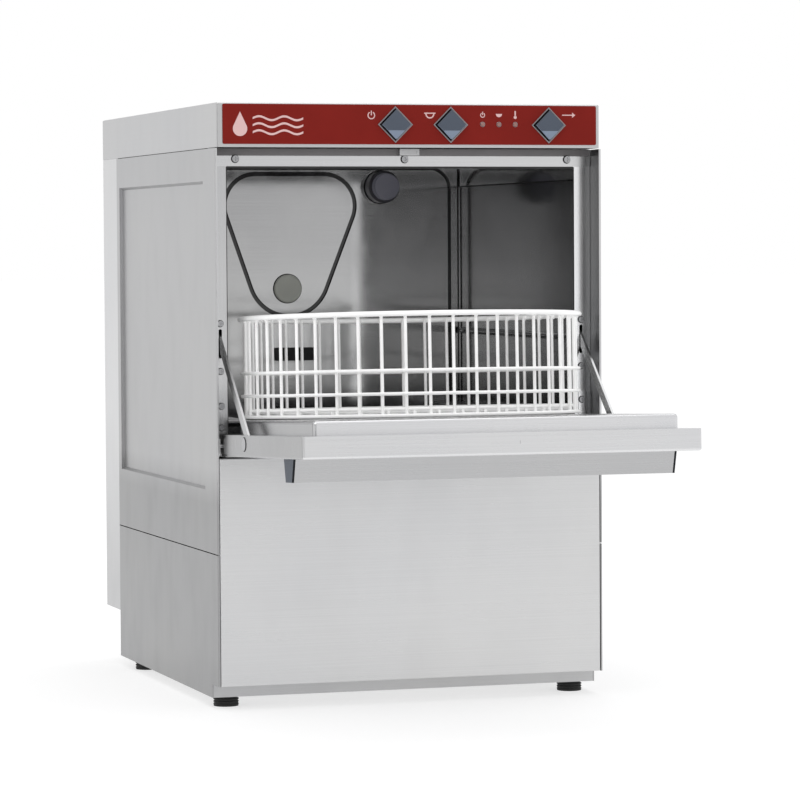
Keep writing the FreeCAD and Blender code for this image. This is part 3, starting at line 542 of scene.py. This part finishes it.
def rack_welds():
    """Coated weld blobs where the uprights meet the rings and the rim."""
    upright_count = 45
    first_turn = math.radians(2.84)
    circle = 194.0 * MM
    rings = ((50.2 * MM, 2.3 * MM), (24.2 * MM, 2.3 * MM), (111.4 * MM, 2.5 * MM))
    center = middle("rack_bar")
    slope = Matrix.Rotation(math.radians(-2.39), 3, "X")
    shape = bmesh.new()
    for index in range(upright_count):
        angle = 2 * math.pi * index / upright_count + first_turn
        foot = Vector((math.cos(angle), math.sin(angle), 0)) * circle
        for height, radius in rings:
            add_ball(shape, center + slope @ (foot + Vector((0, 0, height))), radius)
    finish_piece("rack_welds", shape, white_coat, RACK)


def rear_louvres():
    """Pressed lips over the vent slots in the rear cover."""
    low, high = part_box("rear_cover")
    back = high[1]
    rows = 10
    pitch = 13 * MM
    first_row = low[2] + 406.9 * MM
    spread = 110 * MM
    slot_half = 42 * MM
    lip_half = 1.1 * MM
    stand_out = 2.4 * MM
    shape = bmesh.new()
    for row in range(rows):
        height = first_row + row * pitch
        for center in (-spread, 0.0, spread):
            add_bar(shape, (center - slot_half, back - 0.6 * MM, height - lip_half),
                    (center + slot_half, back + stand_out, height + lip_half), edge=0.9 * MM)
    finish_piece("rear_louvres", shape, cover_steel, CABINET)


def cover_screws():
    """Washer-head screws round the edge of the rear cover and along the hood's rear skirt."""
    low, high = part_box("rear_cover")
    hood_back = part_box("hood")[1][1]
    inset = 12 * MM
    rows = [(low[2] + inset, high[1]), (low[2] + 300 * MM, high[1]), (high[2] - 14 * MM, high[1]),
            (middle("hood").z, hood_back)]
    outline = [(4.6 * MM, 0.0), (4.6 * MM, 0.6 * MM), (3.4 * MM, 0.8 * MM), (3.2 * MM, 1.8 * MM),
               (2.4 * MM, 2.3 * MM), (1.0 * MM, 2.3 * MM), (0.8 * MM, 1.4 * MM)]
    shape = bmesh.new()
    for height, back in rows:
        for across in (low[0] + inset, 0.0, high[0] - inset):
            add_turned(shape, outline, (across, back, height), BACKWARDS)
    finish_piece("cover_screws", shape, bright_steel, CABINET)


def foot_rings():
    """Grip rings round each rubber foot."""
    low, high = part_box("feet")
    radius = 14.0 * MM
    inset = 14.5 * MM
    shape = bmesh.new()
    for across in (low[0] + inset, high[0] - inset):
        for along in (low[1] + inset, high[1] - inset):
            for height in (2.2 * MM, 5.2 * MM, 8.2 * MM):
                add_ring(shape, (across, along, low[2] + height), UPWARDS, radius, wire=0.9 * MM)
    finish_piece("foot_rings", shape, black_rubber_and_shade, CABINET)


def lamp_rings():
    """Thin collars round the three lamps."""
    low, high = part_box("pilot_lights")
    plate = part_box("control_label")[0][1]
    center = middle("pilot_lights")
    radius = (high[2] - low[2]) / 2
    shape = bmesh.new()
    for across in (low[0] + radius, center.x, high[0] - radius):
        add_ring(shape, (across, plate, center.z), BACKWARDS, radius + 0.3 * MM, wire=0.35 * MM)
    finish_piece("lamp_rings", shape, bezel, CABINET)


def plug_collar():
    """Thin sealing ring at the foot of the grey plug and of the dark cap."""
    shape = bmesh.new()
    for name, radius in (("wall_plug", 18.4 * MM), ("wall_cap", 21.2 * MM)):
        center = middle(name)
        place = (center.x, wall_plane - 0.5 * MM, center.z)
        add_ring(shape, place, BACKWARDS, radius, wire=0.7 * MM)
    finish_piece("plug_collar", shape, black_rubber_and_shade, CABINET)


def cap_knob():
    """Raised knob on the dark cap, with a small step at its foot."""
    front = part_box("wall_cap")[0][1]
    center = middle("wall_cap")
    outline = [(17.6 * MM, -0.2 * MM), (17.6 * MM, 1.0 * MM), (17.0 * MM, 1.6 * MM),
               (16.8 * MM, 8.8 * MM), (16.3 * MM, 9.7 * MM), (15.2 * MM, 10.0 * MM)]
    shape = bmesh.new()
    add_turned(shape, outline, (center.x, front, center.z), FORWARDS, segments=40)
    finish_piece("cap_knob", shape, dark_blue, CABINET)


def pipe_ridges(node, across, inset, pitch, count, radius, wire):
    """Row of rings round a pipe that ends at the back of a node."""
    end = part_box(node)[1][1]
    height = middle("cable_gland").z
    shape = bmesh.new()
    for index in range(count):
        place = (across, end - inset - index * pitch, height)
        add_ring(shape, place, BACKWARDS, radius, wire, segments=40, sides=6)
    return shape


def inlet_thread():
    """Thread ridges on the water inlet."""
    shape = pipe_ridges("inlet_valve", across=-140 * MM, inset=3 * MM, pitch=2.2 * MM, count=7,
                        radius=13.1 * MM, wire=0.6 * MM)
    finish_piece("inlet_thread", shape, brass, CABINET)


def drain_barbs():
    """Hose barbs on the drain spigot."""
    shape = pipe_ridges("drain_outlet", across=0.0, inset=4 * MM, pitch=5.5 * MM, count=4,
                        radius=11.9 * MM, wire=0.8 * MM)
    finish_piece("drain_barbs", shape, grey_plastic, CABINET)


def roof_edge_shadow_line():
    """Black line on the chamber's walls under the edge of its roof pan: painted shadow of the pan's
    edge.
    """
    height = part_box("tank_ceiling")[0][2]
    left_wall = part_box("tank_side_left")[1][0]
    right_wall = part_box("tank_side_right")[0][0]
    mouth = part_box("tank_side_right")[0][1]
    inset = 14 * MM
    shape = bmesh.new()
    for wall, inward in ((left_wall, 1), (right_wall, -1)):
        edges = sorted((wall - inward * 0.05 * MM, wall + inward * 0.7 * MM))
        add_bar(shape, (edges[0], mouth + inset, height - 1.3 * MM),
                (edges[1], wall_plane - inset, height + 0.1 * MM), edge=0.25 * MM)
    finish_piece("roof_edge_shadow_line", shape, black_rubber_and_shade, CABINET)


def cover_gap_shade():
    """Dark strip in the gap between each side panel and the rear cover: painted shade in the gap.
    """
    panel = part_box("upper_side_panel_left")
    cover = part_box("rear_cover")
    inner = 231.3 * MM
    outer = 234.0 * MM
    gap = 0.1 * MM
    inset = 1 * MM
    shape = bmesh.new()
    for start, end in ((-outer, -inner), (inner, outer)):
        add_bar(shape, (start, panel[1][1] + gap, cover[0][2] + inset),
                (end, cover[0][1] - gap, panel[1][2] - inset), edge=0.4 * MM)
    finish_piece("cover_gap_shade", shape, black_rubber_and_shade, CABINET)


def screw_shadow_rings():
    """Thin dark rings round the screws on the rail, the hinge brackets and the front frame: painted
    shadow round the screw heads.
    """
    low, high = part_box("frame_screws")
    rail_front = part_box("top_rail")[0][1]
    frame_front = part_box("front_frame")[0][1]
    bracket_front = frame_front - 2 * MM
    lowest = low[2] + 3.4 * MM
    column = 221.2 * MM
    steps = ((0, bracket_front), (25 * MM, bracket_front), (65 * MM, frame_front),
             (120 * MM, frame_front))
    shape = bmesh.new()
    for across in (-202.5 * MM, 2 * MM, 203.5 * MM):
        place = (across, rail_front, high[2] - 4.0 * MM)
        add_ring(shape, place, BACKWARDS, radius=4.2 * MM, wire=0.7 * MM, segments=32, sides=6)
    for across in (-column, column):
        for step, front in steps:
            place = (across, front, lowest + step)
            add_ring(shape, place, BACKWARDS, radius=3.6 * MM, wire=0.6 * MM, segments=32, sides=6)
    finish_piece("screw_shadow_rings", shape, black_rubber_and_shade, CABINET)


def rivet_edges():
    """Thin dark ring round the flat rivet on each side of the door."""
    low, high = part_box("door_pins")
    radius = 7.4 * MM
    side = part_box("door_outer")[1][0]
    shape = bmesh.new()
    for across in (-side, side):
        place = (across, low[1] + radius, high[2] - radius)
        add_ring(shape, place, SIDEWAYS, radius + 0.3 * MM, wire=0.55 * MM)
    finish_piece("rivet_edges", shape, black_rubber_and_shade, DOOR)


hood_shade_strip()
rack_welds()
rear_louvres()
cover_screws()
foot_rings()
lamp_rings()
plug_collar()
cap_knob()
inlet_thread()
drain_barbs()
roof_edge_shadow_line()
cover_gap_shade()
screw_shadow_rings()
rivet_edges()


# ---------------------------------------------------------------- stage

def floor_material():
    """Matt pale grey that glows a little, so that only close shadows show on it."""
    material, tree, shader = new_material("floor_pale")
    cloud = add_range(tree, add_noise(tree, 2.0, 2.0), 0.25, 0.75, 0.0, 1.0)
    tint = add_mix(tree, cloud, (0.45, 0.45, 0.45), (0.47, 0.47, 0.47))
    tree.links.new(tint, shader.inputs["Base Color"])
    shader.inputs["Roughness"].default_value = 0.9
    shader.inputs["Specular IOR Level"].default_value = 0.0
    shader.inputs["Emission Color"].default_value = (1, 1, 1, 1)
    shader.inputs["Emission Strength"].default_value = 0.62
    return material


def floor():
    """Plain pale floor."""
    half = 60.0
    corners = [(-half, -half, 0), (half, -half, 0), (half, half, 0), (-half, half, 0)]
    mesh = bpy.data.meshes.new("floor")
    mesh.from_pydata(corners, [], [(0, 1, 2, 3)])
    mesh.materials.append(floor_material())
    piece = bpy.data.objects.new("floor", mesh)
    bpy.context.scene.collection.objects.link(piece)


def area_light(name, place, target, size, power):
    """Soft rectangular light aimed at a point."""
    data = bpy.data.lights.new(name, "AREA")
    data.shape = "RECTANGLE"
    data.size = size[0]
    data.size_y = size[1]
    data.energy = power
    light = bpy.data.objects.new(name, data)
    bpy.context.scene.collection.objects.link(light)
    light.location = place
    light.rotation_mode = "QUATERNION"
    light.rotation_quaternion = (Vector(target) - Vector(place)).to_track_quat("-Z", "Y")


def studio_world():
    """White surround with one darker panel at the front left."""
    world = bpy.data.worlds.new("studio")
    world.use_nodes = True
    tree = world.node_tree
    background = tree.nodes["Background"]
    sky = tree.nodes.new("ShaderNodeTexCoord").outputs["Generated"]
    toward = tree.nodes.new("ShaderNodeVectorMath")
    toward.operation = "DOT_PRODUCT"
    toward.inputs[1].default_value = Vector((-0.36, -0.93, 0.0)).normalized()
    tree.links.new(sky, toward.inputs[0])
    outer = math.cos(math.radians(40))
    inner = math.cos(math.radians(20))
    panel = add_range(tree, toward.outputs["Value"], outer, inner, 0.0, 1.0)
    surround = add_mix(tree, panel, (0.892, 0.892, 0.897), (0.267, 0.267, 0.272))
    direct = tree.nodes.new("ShaderNodeLightPath").outputs["Is Camera Ray"]
    tree.links.new(add_mix(tree, direct, surround, (1.0, 1.0, 1.0)), background.inputs["Color"])
    background.inputs["Strength"].default_value = 1.0
    bpy.context.scene.world = world


def studio():
    """Soft lights and plain colour handling."""
    studio_world()
    area_light("key", place=(-1.4, -3.2, 3.2), target=(0, 0, 0.35), size=(2.2, 1.6), power=27.5)
    area_light("top", place=(0.6, 0.4, 3.4), target=(0, 0, 0.3), size=(2.4, 2.4), power=20)
    bpy.context.scene.view_settings.view_transform = "Standard"


def camera():
    """Long lens from the front, turned towards the left side."""
    data = bpy.data.cameras.new("camera")
    data.sensor_width = 36.0
    data.lens = 161.0
    data.clip_start = 0.05
    data.clip_end = 200.0
    piece = bpy.data.objects.new("camera", data)
    bpy.context.scene.collection.objects.link(piece)
    yaw = math.radians(17.58)
    pitch = math.radians(2.395)
    roll = math.radians(-0.336)
    turns = ((-yaw, "Z"), (math.radians(90) - pitch, "X"), (roll, "Z"))
    place = Matrix.Translation((-1.26823, -4.08087, 0.52715))
    for angle, axis in turns:
        place = place @ Matrix.Rotation(angle, 4, axis)
    piece.matrix_world = place
    bpy.context.scene.camera = piece


floor()
studio()
camera()
